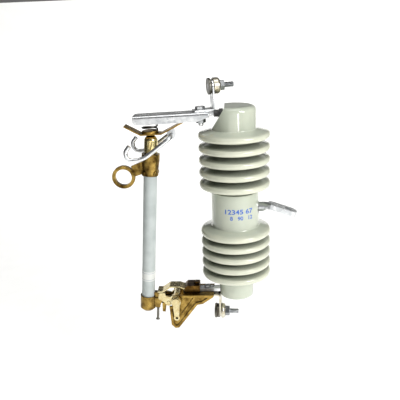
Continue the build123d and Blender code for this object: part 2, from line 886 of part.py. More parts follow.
# Ejector lever on the near journal, outside the hinge's side
with BuildPart() as ejector_lever:
    with BuildSketch(hinge.offset(lever_inner)):
        with BuildLine():
            Polyline(
                (pivot[0] - lever_root, pivot[1]),
                (pivot[0] + lever_root, pivot[1]),
                (pivot[0] + lever_tip, pivot[1] - lever_length),
                (pivot[0] - lever_tip, pivot[1] - lever_length),
                close=True,
            )
        make_face()
        with Locations((pivot[0], pivot[1] - lever_length)):
            Circle(lever_ring)
    extrude(amount=lever_arm_thickness)
    with BuildSketch(hinge.offset(lever_inner)):
        with Locations(pivot):
            Circle(lever_hub)
    extrude(amount=lever_thickness)
    with BuildSketch(hinge.offset(lever_inner)):
        with Locations(pivot):
            Circle(journal_radius + pin_running)
        with Locations((pivot[0], pivot[1] - lever_length)):
            Circle(lever_hole)
    extrude(amount=lever_thickness, mode=Mode.SUBTRACT)
finish(ejector_lever.part, "ejector_lever")

# Hinge casting: two rimmed sides with open cradles, joined by a bridge under the lower bar
cradle_radius = journal_radius + journal_fit
bridge_bottom = bridge_top - bridge_thickness
side_outer = side_inner + side_thickness
side_points = [
    (horn_front, horn_foot),
    *side_outline,
    (bridge_back, bridge_top),
    (pivot[0] + cradle_radius, bridge_top),
    pivot,
    (pivot[0] - cradle_radius, pivot[1]),
    (pivot[0] - cradle_radius, horn_top),
    (horn_front, horn_top),
]
bridge_middle = (bridge_front + bridge_back) / 2
with BuildPart() as hinge_casting:
    for outward in (1, -1):
        with BuildSketch(hinge.offset(outward * side_inner)):
            with BuildLine():
                Polyline(*side_points, close=True)
            make_face()
            with Locations(pivot):
                Circle(cradle_radius, mode=Mode.SUBTRACT)
                Rectangle(
                    2 * cradle_radius,
                    bridge_top - pivot[1],
                    align=(Align.CENTER, Align.MIN),
                    mode=Mode.SUBTRACT,
                )
        extrude(amount=outward * side_thickness)
        with BuildSketch(hinge.offset(outward * side_outer)):
            with BuildLine():
                Polyline(*side_points, close=True)
            make_face()
            offset(amount=-side_rim_width)
            with BuildLine():
                Polyline(*inner_rib, close=True)
            make_face(mode=Mode.SUBTRACT)
            with Locations(pivot):
                Circle(cradle_radius + side_rim_width, mode=Mode.SUBTRACT)
        extrude(amount=-outward * side_recess, mode=Mode.SUBTRACT)
    with BuildSketch(level(hinge, bridge_middle, bridge_bottom)):
        Rectangle(bridge_back - bridge_front, 2 * side_inner)
    extrude(amount=bridge_thickness)
    with BuildSketch(level(hinge, 0, bridge_bottom)):
        with Locations((lower_bolt_x, 0), (block_bolt_x, 0)):
            Circle(small_bolt_radius + bolt_clearance)
    extrude(amount=bridge_thickness, mode=Mode.SUBTRACT)
finish(hinge_casting.part, "hinge_casting")

# Block that holds the hinge contact and the end of the lower bar on the bridge
with BuildPart() as hinge_block:
    with BuildSketch(level(hinge, (block_front + block_back) / 2, bridge_top)):
        Rectangle(block_back - block_front, 2 * block_half_width)
    extrude(amount=block_height)
    chamfer(edges().filter_by(Axis.Y).group_by(Axis.X)[0].sort_by(Axis.Z)[-1], block_chamfer)
    with BuildSketch(cross(hinge, lower_pin_start, lower_pin_middle)):
        Rectangle(pin_width, pin_thickness)
    extrude(amount=block_back - lower_pin_start, mode=Mode.SUBTRACT)
    with BuildSketch(cross(hinge, block_front, arch_seat)):
        Rectangle(
            arch_width, arch_thickness + leaf_height, align=(Align.CENTER, Align.MAX)
        )
    extrude(amount=arch_grip, mode=Mode.SUBTRACT)
    with BuildSketch(level(hinge, block_bolt_x, bridge_top)):
        Circle(small_bolt_radius + bolt_clearance)
    extrude(amount=block_height, mode=Mode.SUBTRACT)
finish(hinge_block.part, "hinge_block")

with BuildPart() as hinge_contact_strap:
    arch_start = (block_front + arch_grip, arch_seat)
    add(bent_strip(hinge, [arch_start, *arch], arch_round, arch_thickness, arch_width))
finish(hinge_contact_strap.part, "hinge_contact_strap")

with BuildPart() as hinge_leaf_pack:
    with BuildSketch(cross(hinge, block_front + arch_grip, arch_seat - arch_thickness)):
        Rectangle(arch_width, leaf_height, align=(Align.CENTER, Align.MAX))
    extrude(amount=-arch_grip - leaf_reach)
finish(hinge_leaf_pack.part, "hinge_leaf_pack")


def small_bolt(place, foot, seat, name):
    """Hexagon bolt with its head on the seat and a nut at its foot."""
    with BuildPart() as bolt:
        with BuildSketch(level(hinge, place, seat)):
            RegularPolygon(small_head_flats / 2, 6, major_radius=False)
        extrude(amount=small_head_height)
        with BuildSketch(level(hinge, place, seat)):
            Circle(small_bolt_radius)
        extrude(amount=foot - seat - small_nut_height - small_bolt_tip)
        with BuildSketch(level(hinge, place, foot)):
            RegularPolygon(small_head_flats / 2, 6, major_radius=False)
        extrude(amount=-small_nut_height)
    finish(bolt.part, name)


foot_bottom = bridge_bottom - terminal_thickness
small_bolt(block_bolt_x, bridge_bottom, bridge_top + block_height, "hinge_block_bolt")
small_bolt(lower_bolt_x, foot_bottom, bridge_top + pin_thickness, "lower_bolt")

# Lower terminal strap, bolted under the bridge
lower_leg_frame = turned(hinge, lower_bolt_x, bridge_bottom, terminal_lower_turn)
with BuildPart() as lower_terminal_strap:
    lower_leg_inside = lower_leg - terminal_thickness
    lower_line = [
        (-lower_foot_front, -terminal_thickness),
        (lower_leg_inside, -terminal_thickness),
        (lower_leg_inside, lower_clamp_level - terminal_end_round),
    ]
    add(bent_strip(lower_leg_frame, lower_line, terminal_bend, terminal_thickness, terminal_width))
    with BuildSketch(level(hinge, lower_bolt_x, bridge_bottom)):
        Circle(small_bolt_radius + bolt_clearance)
    extrude(amount=-terminal_thickness, mode=Mode.SUBTRACT)
    with BuildSketch(cross(lower_leg_frame, lower_leg, lower_clamp_level)):
        Circle(pitch_radius + bolt_clearance)
    extrude(amount=-terminal_thickness, mode=Mode.SUBTRACT)
    leg_edges = edges().filter_by(Axis(lower_leg_frame.origin, lower_leg_frame.x_dir))
    fillet(leg_edges.sort_by(Axis.Z)[0:2], terminal_end_round)
finish(lower_terminal_strap.part, "lower_terminal_strap")

clamp_pieces(
    lower_leg_frame,
    lower_leg,
    lower_clamp_level,
    lower_clamp_front,
    lower_cup_length,
    lower_stud_reach,
    "lower",
)

# Bolt that holds the hood, the bar, the terminal strap and the contact together
head_seat = sheet + terminal_thickness
tip_level = strip_seat - washer_height - nut_height - bolt_tip
with BuildPart() as channel_bolt:
    with BuildSketch(level(arm, 0, head_seat)):
        RegularPolygon(head_flats / 2, 6, major_radius=False)
    extrude(amount=head_height)
    with BuildSketch(level(arm, 0, head_seat)):
        Circle(bolt_radius)
    extrude(amount=tip_level - head_seat)
    chamfer(edges().filter_by(GeomType.CIRCLE).sort_by(Axis.Z)[0], tip_chamfer)
finish(channel_bolt.part, "channel_bolt")

with BuildPart() as channel_nut:
    with BuildSketch(level(arm, 0, strip_seat)):
        Circle(washer_radius)
    extrude(amount=-washer_height)
    with BuildSketch(level(arm, 0, strip_seat - washer_height)):
        RegularPolygon(nut_flats / 2, 6, major_radius=False)
    extrude(amount=-nut_height)
    with BuildSketch(level(arm, 0, strip_seat)):
        Circle(bolt_radius)
    extrude(amount=-washer_height - nut_height, mode=Mode.SUBTRACT)
finish(channel_nut.part, "channel_nut")
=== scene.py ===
"""Looks of a distribution fuse cutout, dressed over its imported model.

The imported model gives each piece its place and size. This script gives every
piece its finish, softens the edges of castings and pressings, and adds the
studs' threads, the contact leaves, the ferrule pins' collars and the stamp.
Lengths are in metres unless a name ends in _mm. +Z is up along the insulator,
+X is towards the pole, and +Y is away from the viewer. The origin is the bolt
hole of the mounting strap.
"""

import logging
import math
from dataclasses import dataclass
from enum import Enum

import bmesh
import bpy
from mathutils import Matrix, Vector
from mathutils.noise import noise as solid_noise


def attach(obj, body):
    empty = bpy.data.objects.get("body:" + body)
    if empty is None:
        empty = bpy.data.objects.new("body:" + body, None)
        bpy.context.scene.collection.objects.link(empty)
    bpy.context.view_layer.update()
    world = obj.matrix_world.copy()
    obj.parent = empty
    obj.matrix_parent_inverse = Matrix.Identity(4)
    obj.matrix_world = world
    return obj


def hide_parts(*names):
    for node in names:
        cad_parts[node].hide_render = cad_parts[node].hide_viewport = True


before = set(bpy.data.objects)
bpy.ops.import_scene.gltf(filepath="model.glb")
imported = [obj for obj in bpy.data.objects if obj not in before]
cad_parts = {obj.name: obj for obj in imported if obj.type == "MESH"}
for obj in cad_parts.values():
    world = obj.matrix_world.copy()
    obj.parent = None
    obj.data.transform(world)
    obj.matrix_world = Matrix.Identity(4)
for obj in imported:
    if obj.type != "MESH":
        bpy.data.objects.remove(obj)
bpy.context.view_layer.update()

log = logging.getLogger("fuse_cutout")

Tree = bpy.types.NodeTree
Node = bpy.types.Node
Socket = bpy.types.NodeSocket
Span = tuple[float, float]
Place = tuple[float, float, float]

MM = 0.001

# The sRGB curve: a straight foot below the knee, a power above it
SRGB_KNEE = 0.04045
SRGB_FOOT = 12.92
SRGB_OFFSET = 0.055
SRGB_POWER = 2.4

# Index of a Mix node's colour sockets and its colour result
MIX_FACTOR, MIX_FIRST, MIX_SECOND, MIX_RESULT = 0, 6, 7, 2

UNIT: Span = (0.0, 1.0)
AIR_SAMPLES = 8
# How far the Wave node's pattern runs for each unit of its scale
WAVE_RUN = 20

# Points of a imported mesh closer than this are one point
SAME_POINT_MM = 0.0005
# Points on a lathe's axis closer than this are one point
SAME_AXIS_MM = 0.0001
# Packed faces that turn by less than this are one flat face
FLAT_DEGREES = 0.6
# An edge that turns by more than this is rounded
ROUNDED_DEGREES = 32.0


class Body(Enum):
    """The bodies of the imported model."""

    INSULATOR = "insulator_body"
    TRUNNION = "trunnion_body"
    HOLDER = "fuse_holder"
    EJECTOR = "ejector"


def linear(code: str) -> tuple[float, float, float, float]:
    """Turn an sRGB hex colour into linear values.

    Args:
        code: six hex digits with a leading hash mark.

    Returns:
        Linear red, green and blue, with an alpha of one.
    """
    channels = []
    for start in (1, 3, 5):
        value = int(code[start : start + 2], 16) / 255
        if value <= SRGB_KNEE:
            channels.append(value / SRGB_FOOT)
        else:
            channels.append(((value + SRGB_OFFSET) / (1.0 + SRGB_OFFSET)) ** SRGB_POWER)
    return (*channels, 1.0)


def feed(tree: Tree, node: Node, inputs: dict) -> None:
    """Set or link a node's inputs.

    Args:
        tree: the node tree.
        node: the node.
        inputs: socket name or index to a value, or to the socket that feeds it.
    """
    for key, value in inputs.items():
        if isinstance(value, Socket):
            tree.links.new(value, node.inputs[key])
        else:
            node.inputs[key].default_value = value


def add_node(tree: Tree, kind: str, inputs: dict | None = None, **settings: object) -> Node:
    """Add a shader node, set its properties, and set or link its inputs.

    Args:
        tree: the node tree.
        kind: the node's type name.
        inputs: socket name or index to a value, or to the socket that feeds it.
        settings: properties of the node.

    Returns:
        The new node.
    """
    node = tree.nodes.new(kind)
    for key, value in settings.items():
        setattr(node, key, value)
    feed(tree, node, inputs or {})
    return node


def per_size(size_mm: float) -> float:
    """Find a pattern's scale from the size of its features.

    Args:
        size_mm: width of one feature.

    Returns:
        The texture scale at which a feature is that wide.
    """
    return 1.0 / (size_mm * MM)


def mix_colours(tree: Tree, factor: Socket | float, first: object, second: object) -> Socket:
    """Blend two colours.

    Args:
        tree: the node tree.
        factor: how much of the second colour shows.
        first: colour or socket under it.
        second: colour or socket on top.

    Returns:
        The blended colour's socket.
    """
    inputs = {MIX_FACTOR: factor, MIX_FIRST: first, MIX_SECOND: second}
    return add_node(tree, "ShaderNodeMix", inputs, data_type="RGBA").outputs[MIX_RESULT]


def ramp(tree: Tree, value: Socket, span: Span, result: Span = UNIT) -> Socket:
    """Map a value from one range onto another, held at its ends.

    Args:
        tree: the node tree.
        value: the socket to read.
        span: values at the two ends.
        result: what each of them gives.

    Returns:
        The mapped value's socket.
    """
    ends = zip(("From Min", "From Max", "To Min", "To Max"), span + result)
    node = add_node(tree, "ShaderNodeMapRange", {"Value": value, **dict(ends)})
    return node.outputs["Result"]


def maths(tree: Tree, operation: str, *values: object, clamped: bool = False) -> Socket:
    """Combine values in one Math node.

    Args:
        tree: the node tree.
        operation: the node's operation.
        values: numbers or sockets, in the order of its inputs.
        clamped: whether the result is held between 0 and 1.

    Returns:
        The result's socket.
    """
    inputs = dict(enumerate(values))
    node = add_node(tree, "ShaderNodeMath", inputs, operation=operation, use_clamp=clamped)
    return node.outputs["Value"]


def noise(
    tree: Tree, place: Socket, size_mm: float, detail: float = 3.0, roughness: float = 0.5
) -> Socket:
    """Cloudy noise with features of a real size.

    Args:
        tree: the node tree.
        place: coordinates to read it at.
        size_mm: width of its largest features.
        detail: number of finer layers.
        roughness: strength of the finer layers.

    Returns:
        The noise's value socket, about 0.3 to 0.7.
    """
    node = add_node(
        tree,
        "ShaderNodeTexNoise",
        {"Vector": place, "Scale": per_size(size_mm), "Detail": detail, "Roughness": roughness},
    )
    return node.outputs["Fac"]


def cells(tree: Tree, place: Socket, size_mm: float) -> Node:
    """Scattered cells of a real size.

    Args:
        tree: the node tree.
        place: coordinates to read them at.
        size_mm: width of a cell.

    Returns:
        The Voronoi node.
    """
    return add_node(tree, "ShaderNodeTexVoronoi", {"Vector": place, "Scale": per_size(size_mm)})


def bump(
    tree: Tree, height: Socket, depth_mm: float, strength: float, normal: Socket | None = None
) -> Socket:
    """Raise or sink the surface's shading by a height pattern.

    Args:
        tree: the node tree.
        height: pattern from 0 to 1.
        depth_mm: its real depth.
        strength: how much of it shows.
        normal: an earlier bump to build on.

    Returns:
        The bumped normal's socket.
    """
    inputs: dict = {"Height": height, "Distance": depth_mm * MM, "Strength": strength}
    if normal is not None:
        inputs["Normal"] = normal
    return add_node(tree, "ShaderNodeBump", inputs).outputs["Normal"]


def sheltered(tree: Tree, reach_mm: float, air_span: Span) -> Socket:
    """Measure how far a spot lies in a gap or corner, for painted shade and dirt.

    Args:
        tree: the node tree.
        reach_mm: how far it looks for other surfaces.
        air_span: shares of open air at which it is fully sheltered and open.

    Returns:
        The socket, 1 in a gap and 0 in the open.
    """
    air = add_node(
        tree, "ShaderNodeAmbientOcclusion", {"Distance": reach_mm * MM}, samples=AIR_SAMPLES
    ).outputs["AO"]
    return ramp(tree, air, air_span, (1.0, 0.0))


@dataclass(frozen=True)
class Finish:
    """A surface finish, which makes one material.

    Attributes:
        name: name of the material.
    """

    name: str

    def material(self) -> bpy.types.Material:
        """Build the finish's material, or find the one built before.

        Returns:
            The material.
        """
        found = bpy.data.materials.get(self.name)
        if found is not None:
            return found
        material = bpy.data.materials.new(self.name)
        material.use_nodes = True
        tree = material.node_tree
        place = add_node(tree, "ShaderNodeTexCoord").outputs["Object"]
        feed(tree, tree.nodes["Principled BSDF"], self.shade(tree, place))
        return material

    def shade(self, tree: Tree, place: Socket) -> dict:
        """Build the patterns of the finish.

        Args:
            tree: the material's node tree.
            place: object coordinates.

        Returns:
            The Principled shader's inputs.
        """
        raise NotImplementedError


@dataclass(frozen=True)
class GlazedPorcelain(Finish):
    """Wet-process electrical porcelain, glazed pale grey-green and fired.

    The eye sees a thick glassy coat over a warm body: cool grey where the glaze
    is thick, cream where it thins over the rims, with a faint orange-peel wave.
    The gaps between the sheds are darkened with painted shade.
    """

    thick_glaze: str = "#C0C6B5"
    thin_glaze: str = "#DADBC6"
    axis_x: float = -0.1003
    rim_span: Span = (0.056, 0.0665)
    rim_thinning: float = 0.75
    cloud_mm: float = 34.0
    cloud_span: Span = (0.35, 0.65)
    cloud_thinning: Span = (-0.12, 0.2)
    speck: str = "#7A7460"
    speck_mm: float = 7.0
    speck_span: Span = (0.02, 0.05)
    speck_share: float = 0.35
    # Painted shade: the glaze turns to this tone in the gaps between the sheds
    painted_gap_shade: str = "#7A7E71"
    gap_shade_reach_mm: float = 30.0
    gap_shade_air: Span = (0.15, 0.65)
    peel_mm: float = 9.0
    peel_span: Span = (0.3, 0.7)
    peel_depth_mm: float = 0.12
    peel_strength: float = 0.2
    roughness: Span = (0.11, 0.16)
    coat_weight: float = 0.6
    coat_roughness: float = 0.05

    def shade(self, tree: Tree, place: Socket) -> dict:
        """Build the glaze's patterns; see Finish.shade."""
        centred = add_node(
            tree,
            "ShaderNodeMapping",
            {"Vector": place, "Location": (-self.axis_x, 0.0, 0.0), "Scale": (1.0, 1.0, 0.0)},
        ).outputs["Vector"]
        out = add_node(tree, "ShaderNodeVectorMath", {0: centred}, operation="LENGTH")
        rim = ramp(tree, out.outputs["Value"], self.rim_span, (0.0, self.rim_thinning))
        cloud = noise(tree, place, self.cloud_mm)
        thinner = ramp(tree, cloud, self.cloud_span, self.cloud_thinning)
        thin = maths(tree, "ADD", rim, thinner, clamped=True)
        colour = mix_colours(tree, thin, linear(self.thick_glaze), linear(self.thin_glaze))
        middle = cells(tree, place, self.speck_mm).outputs["Distance"]
        dot = ramp(tree, middle, self.speck_span, (self.speck_share, 0.0))
        colour = mix_colours(tree, dot, colour, linear(self.speck))
        # Painted shade: how far each spot lies in a gap, where the glaze is darkened
        hidden = sheltered(tree, self.gap_shade_reach_mm, self.gap_shade_air)
        peel = noise(tree, place, self.peel_mm)
        wave = noise(tree, place, self.peel_mm, detail=1.0)
        return {
            # Painted shade mixed into the glaze in the gaps
            "Base Color": mix_colours(tree, hidden, colour, linear(self.painted_gap_shade)),
            "Roughness": ramp(tree, peel, self.peel_span, self.roughness),
            "Coat Weight": self.coat_weight,
            "Coat Roughness": self.coat_roughness,
            "Normal": bump(tree, wave, self.peel_depth_mm, self.peel_strength),
        }


@dataclass(frozen=True)
class HotDipZinc(Finish):
    """Steel dipped in molten zinc.

    The eye sees a bright grey skin broken into crystal spangles, each a little
    lighter or darker, with soft runs of zinc between them.
    """

    bright: str = "#F6F7F7"
    dull: str = "#C6C9CC"
    spangle_mm: float = 7.0
    spangle_share: float = 0.45
    run_mm: float = 16.0
    run_span: Span = (0.35, 0.7)
    run_share: float = 0.5
    grain_mm: float = 3.0
    grain_depth_mm: float = 0.12
    grain_strength: float = 0.5
    roughness: Span = (0.26, 0.42)

    def shade(self, tree: Tree, place: Socket) -> dict:
        """Build the zinc's patterns; see Finish.shade."""
        colours = cells(tree, place, self.spangle_mm).outputs["Color"]
        spangle = add_node(tree, "ShaderNodeSeparateColor", {"Color": colours}).outputs["Red"]
        run = noise(tree, place, self.run_mm, detail=4.0)
        dulled = maths(
            tree,
            "ADD",
            ramp(tree, spangle, UNIT, (0.0, self.spangle_share)),
            ramp(tree, run, self.run_span, (0.0, self.run_share)),
            clamped=True,
        )
        grain = noise(tree, place, self.grain_mm)
        return {
            "Base Color": mix_colours(tree, dulled, linear(self.bright), linear(self.dull)),
            "Metallic": 1.0,
            "Roughness": ramp(tree, spangle, UNIT, self.roughness),
            "Normal": bump(tree, grain, self.grain_depth_mm, self.grain_strength),
        }


@dataclass(frozen=True)
class AgedMetal(Finish):
    """Bare metal that ages in clouds, with dirt and painted shade in its corners.

    Attributes:
        fresh, aged: tones of the metal at its cleanest and in the clouds.
        aged_share: how far the aged tone covers the fresh one.
        grime_and_shade: tone of the dirt and painted shade in corners.
        grime_and_shade_reach_mm: how far a corner reaches.
        grime_and_shade_air: shares of open air at which dirt and painted shade are full and end.
        cloud_mm, cloud_detail: width of a cloud and number of its finer layers.
        cloud_span, gloss_span: noise values between which tone and shine change.
        roughness: roughness at either end.
        grain_mm, grain_depth_mm, grain_strength: width, depth and share of the grain.
        swell_mm, swell_depth_mm, swell_strength: the same of the swell under it.
    """

    fresh: str
    aged: str
    aged_share: float
    grime_and_shade: str
    grime_and_shade_reach_mm: float
    grime_and_shade_air: Span
    cloud_mm: float
    cloud_detail: float
    cloud_span: Span
    gloss_span: Span
    roughness: Span
    grain_mm: float
    grain_depth_mm: float
    grain_strength: float
    swell_mm: float = 6.0
    swell_depth_mm: float = 0.25
    swell_strength: float = 0.0

    def shade(self, tree: Tree, place: Socket) -> dict:
        """Build the metal's patterns; see Finish.shade."""
        cloud = noise(tree, place, self.cloud_mm, self.cloud_detail, roughness=0.6)
        old = ramp(tree, cloud, self.cloud_span, (0.0, self.aged_share))
        colour = mix_colours(tree, old, linear(self.fresh), linear(self.aged))
        # Dirt and painted shade: how far each spot lies in a corner, where the metal is darkened
        corner = sheltered(tree, self.grime_and_shade_reach_mm, self.grime_and_shade_air)
        under = None
        if self.swell_strength > 0.0:
            wave = noise(tree, place, self.swell_mm, detail=2.0)
            under = bump(tree, wave, self.swell_depth_mm, self.swell_strength)
        grain = noise(tree, place, self.grain_mm)
        return {
            # Dirt and painted shade mixed into the corners
            "Base Color": mix_colours(tree, corner, colour, linear(self.grime_and_shade)),
            "Metallic": 1.0,
            "Roughness": ramp(tree, cloud, self.gloss_span, self.roughness),
            "Normal": bump(tree, grain, self.grain_depth_mm, self.grain_strength, under),
        }


@dataclass(frozen=True)
class CastBronze(AgedMetal):
    """Copper alloy cast in sand and left as it came.

    The eye sees a brown skin over yellow metal, with a fine sand grain, darker
    oxide in clouds and a dull shine on what stands proud.
    """

    fresh: str = "#B2934E"
    aged: str = "#5C4319"
    aged_share: float = 1.0
    # Dirt and painted shade in the corners
    grime_and_shade: str = "#241706"
    grime_and_shade_reach_mm: float = 7.0
    grime_and_shade_air: Span = (0.35, 0.85)
    cloud_mm: float = 15.0
    cloud_detail: float = 5.0
    cloud_span: Span = (0.38, 0.66)
    gloss_span: Span = (0.35, 0.7)
    roughness: Span = (0.26, 0.44)
    grain_mm: float = 1.3
    grain_depth_mm: float = 0.12
    grain_strength: float = 0.6
    swell_strength: float = 0.4


@dataclass(frozen=True)
class PlatedBrass(AgedMetal):
    """Brass with a thin bright plate that has begun to wear.

    The eye sees a pale silver-yellow metal, yellower where the plate is thin.
    """

    fresh: str = "#DBD1A8"
    aged: str = "#B08F4A"
    aged_share: float = 0.6
    # Dirt and painted shade in the corners
    grime_and_shade: str = "#3A2C14"
    grime_and_shade_reach_mm: float = 6.0
    grime_and_shade_air: Span = (0.3, 0.8)
    cloud_mm: float = 8.0
    cloud_detail: float = 4.0
    cloud_span: Span = (0.36, 0.64)
    gloss_span: Span = (0.3, 0.7)
    roughness: Span = (0.18, 0.32)
    grain_mm: float = 2.0
    grain_depth_mm: float = 0.1
    grain_strength: float = 0.4


@dataclass(frozen=True)
class PaintedFibre(Finish):
    """Glass-fibre tube, filament wound and painted.

    The eye sees a cool grey semi-matt coat over faint crossing winding lines.
    """

    paint: str = "#C3CAC8"
    shadow: str = "#B3BBB9"
    cloud_mm: float = 22.0
    cloud_span: Span = (0.35, 0.7)
    winding_mm: float = 4.0
    winding_turn: Place = (0.5, 0.0, 0.4)
    winding_depth_mm: float = 0.1
    winding_strength: float = 0.3
    distortion: float = 1.5
    roughness: float = 0.4

    def shade(self, tree: Tree, place: Socket) -> dict:
        """Build the paint's patterns; see Finish.shade."""
        cloud = ramp(tree, noise(tree, place, self.cloud_mm, detail=4.0), self.cloud_span)
        turned = add_node(
            tree, "ShaderNodeMapping", {"Vector": place, "Rotation": self.winding_turn}
        ).outputs["Vector"]
        winding = add_node(
            tree,
            "ShaderNodeTexWave",
            {
                "Vector": turned,
                "Scale": per_size(self.winding_mm) / WAVE_RUN,
                "Distortion": self.distortion,
            },
            bands_direction="Z",
        ).outputs["Fac"]
        return {
            "Base Color": mix_colours(tree, cloud, linear(self.paint), linear(self.shadow)),
            "Roughness": self.roughness,
            "Normal": bump(tree, winding, self.winding_depth_mm, self.winding_strength),
        }


@dataclass(frozen=True)
class PlainCoat(Finish):
    """A plain surface with a little variation, such as cement or ink.

    The eye sees one tone, broken by grain of the stated size.
    """

    tone: str
    other: str
    grain_mm: float = 2.0
    grain_span: Span = (0.35, 0.65)
    depth_mm: float = 0.1
    strength: float = 0.8
    roughness: float = 0.6
    metallic: float = 0.0

    def shade(self, tree: Tree, place: Socket) -> dict:
        """Build the coat's patterns; see Finish.shade."""
        grain = noise(tree, place, self.grain_mm, detail=5.0, roughness=0.6)
        share = ramp(tree, grain, self.grain_span)
        return {
            "Base Color": mix_colours(tree, share, linear(self.tone), linear(self.other)),
            "Metallic": self.metallic,
            "Roughness": self.roughness,
            "Normal": bump(tree, grain, self.depth_mm, self.strength),
        }


@dataclass(frozen=True)
class PrintedFilm(Finish):
    """White label film wound on the tube, printed with two thin rules.

    The eye sees a clean white band with a grey-blue line near each edge.
    """

    film: str = "#DFE1DD"
    print_tone: str = "#8C97A6"
    base: Place = (-0.2803, 0.0, -0.1955)
    axis: Place = (0.08055, 0.0, 0.99675)
    rules_mm: Span = (54.0, 68.0)
    rule_half_mm: float = 0.35
    roughness: float = 0.35

    def shade(self, tree: Tree, place: Socket) -> dict:
        """Build the film's patterns; see Finish.shade."""
        moved = add_node(
            tree, "ShaderNodeVectorMath", {0: place, 1: self.base}, operation="SUBTRACT"
        ).outputs["Vector"]
        along = add_node(
            tree, "ShaderNodeVectorMath", {0: moved, 1: self.axis}, operation="DOT_PRODUCT"
        ).outputs["Value"]
        colour: object = linear(self.film)
        for rule in self.rules_mm:
            near = maths(tree, "COMPARE", along, rule * MM, self.rule_half_mm * MM)
            colour = mix_colours(tree, near, colour, linear(self.print_tone))
        return {"Base Color": colour, "Roughness": self.roughness}


GLAZE = GlazedPorcelain("glazed_porcelain")
ZINC = HotDipZinc("hot_dip_zinc")
GREY_ZINC = HotDipZinc("grey_zinc", bright="#C2C4C5", dull="#85888B")
STRAP_ZINC = HotDipZinc("strap_zinc", bright="#E0E2E3", dull="#9FA2A5")
BRIGHT_ZINC = HotDipZinc("bright_zinc", bright="#F0F1F1", dull="#CDD0D2")
BRONZE = CastBronze("cast_bronze")
DARK_BRONZE = CastBronze("dark_bronze", fresh="#6E5226", aged="#3A2710", roughness=(0.26, 0.55))
FERRULE_BRONZE = CastBronze("ferrule_bronze", fresh="#A98C4A", aged="#4C3614")
STRIP_BRONZE = CastBronze("rolled_bronze", fresh="#B8964D", aged="#8A6A30", grain_mm=2.5)
PLATED = PlatedBrass("plated_brass")
CAP_BRASS = PlatedBrass("cap_brass", fresh="#FBECB2", aged="#E4C068", roughness=(0.15, 0.29))
TIN = PlatedBrass(
    "tin_plate", fresh="#D5D2C6", aged="#B8A572", aged_share=0.5, roughness=(0.26, 0.4)
)
DARK_STEEL = PlatedBrass(
    "dark_steel", fresh="#77756E", aged="#5A564C", aged_share=0.7, roughness=(0.3, 0.44)
)
FIBRE = PaintedFibre("painted_fibre")
CEMENT = PlainCoat("cement", tone="#24221F", other="#141311", depth_mm=0.5, roughness=0.9)
INK = PlainCoat("stamp_ink", tone="#2E5BBE", other="#5B80CC", depth_mm=0.0, roughness=0.5)
FILM = PrintedFilm("label_film")
SPRING = PlainCoat(
    "spring_steel", tone="#5C5850", other="#38342E", depth_mm=0.05, roughness=0.35, metallic=1.0
)
FLOOR = PlainCoat("studio_floor", tone="#F4F4F2", other="#F1F1EF", grain_mm=60.0, depth_mm=0.0)


def dress(node: str, finish: Finish) -> None:
    """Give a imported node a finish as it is.

    Args:
        node: the node's name.
        finish: its finish.
    """
    material = finish.material()
    for material_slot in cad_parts[node].material_slots:
        material_slot.material = material
    log.info("dressed %s with %s", node, finish.name)


def place_object(name: str, data: bpy.types.ID) -> bpy.types.Object:
    """Make an object and link it to the scene.

    Args:
        name: the object's name.
        data: its mesh, curve, camera or light.

    Returns:
        The object.
    """
    made = bpy.data.objects.new(name, data)
    bpy.context.scene.collection.objects.link(made)
    return made


def to_mesh(name: str, bm: bmesh.types.BMesh) -> bpy.types.Mesh:
    """Turn a working mesh into mesh data.

    Args:
        name: the mesh's name.
        bm: the working mesh, which is freed.

    Returns:
        The mesh.
    """
    mesh = bpy.data.meshes.new(name)
    bm.to_mesh(mesh)
    bm.free()
    return mesh


def merged_copy(node: str) -> bmesh.types.BMesh:
    """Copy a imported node's mesh, with its points merged and its flat faces joined.

    Args:
        node: the node's name.

    Returns:
        A closed mesh in place.
    """
    bm = bmesh.new()
    bm.from_mesh(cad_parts[node].data)
    bmesh.ops.remove_doubles(bm, verts=bm.verts, dist=SAME_POINT_MM * MM)
    bmesh.ops.dissolve_limit(
        bm, angle_limit=math.radians(FLAT_DEGREES), verts=list(bm.verts), edges=list(bm.edges)
    )
    return bm


def round_edges(bm: bmesh.types.BMesh, size_mm: float, segments: int = 2) -> None:
    """Round the sharp edges of a mesh.

    Args:
        bm: the mesh.
        size_mm: width of the rounding.
        segments: faces across it.
    """
    least = math.radians(ROUNDED_DEGREES)
    edges = [
        edge for edge in bm.edges if len(edge.link_faces) == 2 and edge.calc_face_angle() > least
    ]
    bmesh.ops.bevel(
        bm,
        geom=edges,
        offset=size_mm * MM,
        offset_type="OFFSET",
        segments=segments,
        profile=0.5,
        affect="EDGES",
        clamp_overlap=True,
        material=-1,
    )


def lathe(profile: list[tuple[float, float]], steps: int = 48) -> bmesh.types.BMesh:
    """Spin a profile round +Z.

    Args:
        profile: radius and height of each corner in mm, from end to end on the axis.
        steps: faces round the turn.

    Returns:
        A closed mesh.
    """
    bm = bmesh.new()
    radius, height = profile[0]
    last = bm.verts.new((radius * MM, 0.0, height * MM))
    for radius, height in profile[1:]:
        made = bmesh.ops.extrude_vert_indiv(bm, verts=[last])
        last = made["verts"][0]
        last.co = (radius * MM, 0.0, height * MM)
    bmesh.ops.spin(
        bm,
        geom=list(bm.verts) + list(bm.edges),
        cent=(0.0, 0.0, 0.0),
        axis=(0.0, 0.0, 1.0),
        angle=math.radians(360),
        steps=steps,
        use_merge=True,
    )
    bmesh.ops.remove_doubles(bm, verts=bm.verts, dist=SAME_AXIS_MM * MM)
    return bm


def stand(place_mm: Place, axis: Place) -> Matrix:
    """Build the matrix that moves the origin to a place and +Z onto an axis.

    Args:
        place_mm: the place.
        axis: where +Z goes.

    Returns:
        The matrix, in metres.
    """
    turn = Vector(axis).to_track_quat("Z", "Y").to_matrix().to_4x4()
    return Matrix.Translation(Vector(place_mm) * MM) @ turn


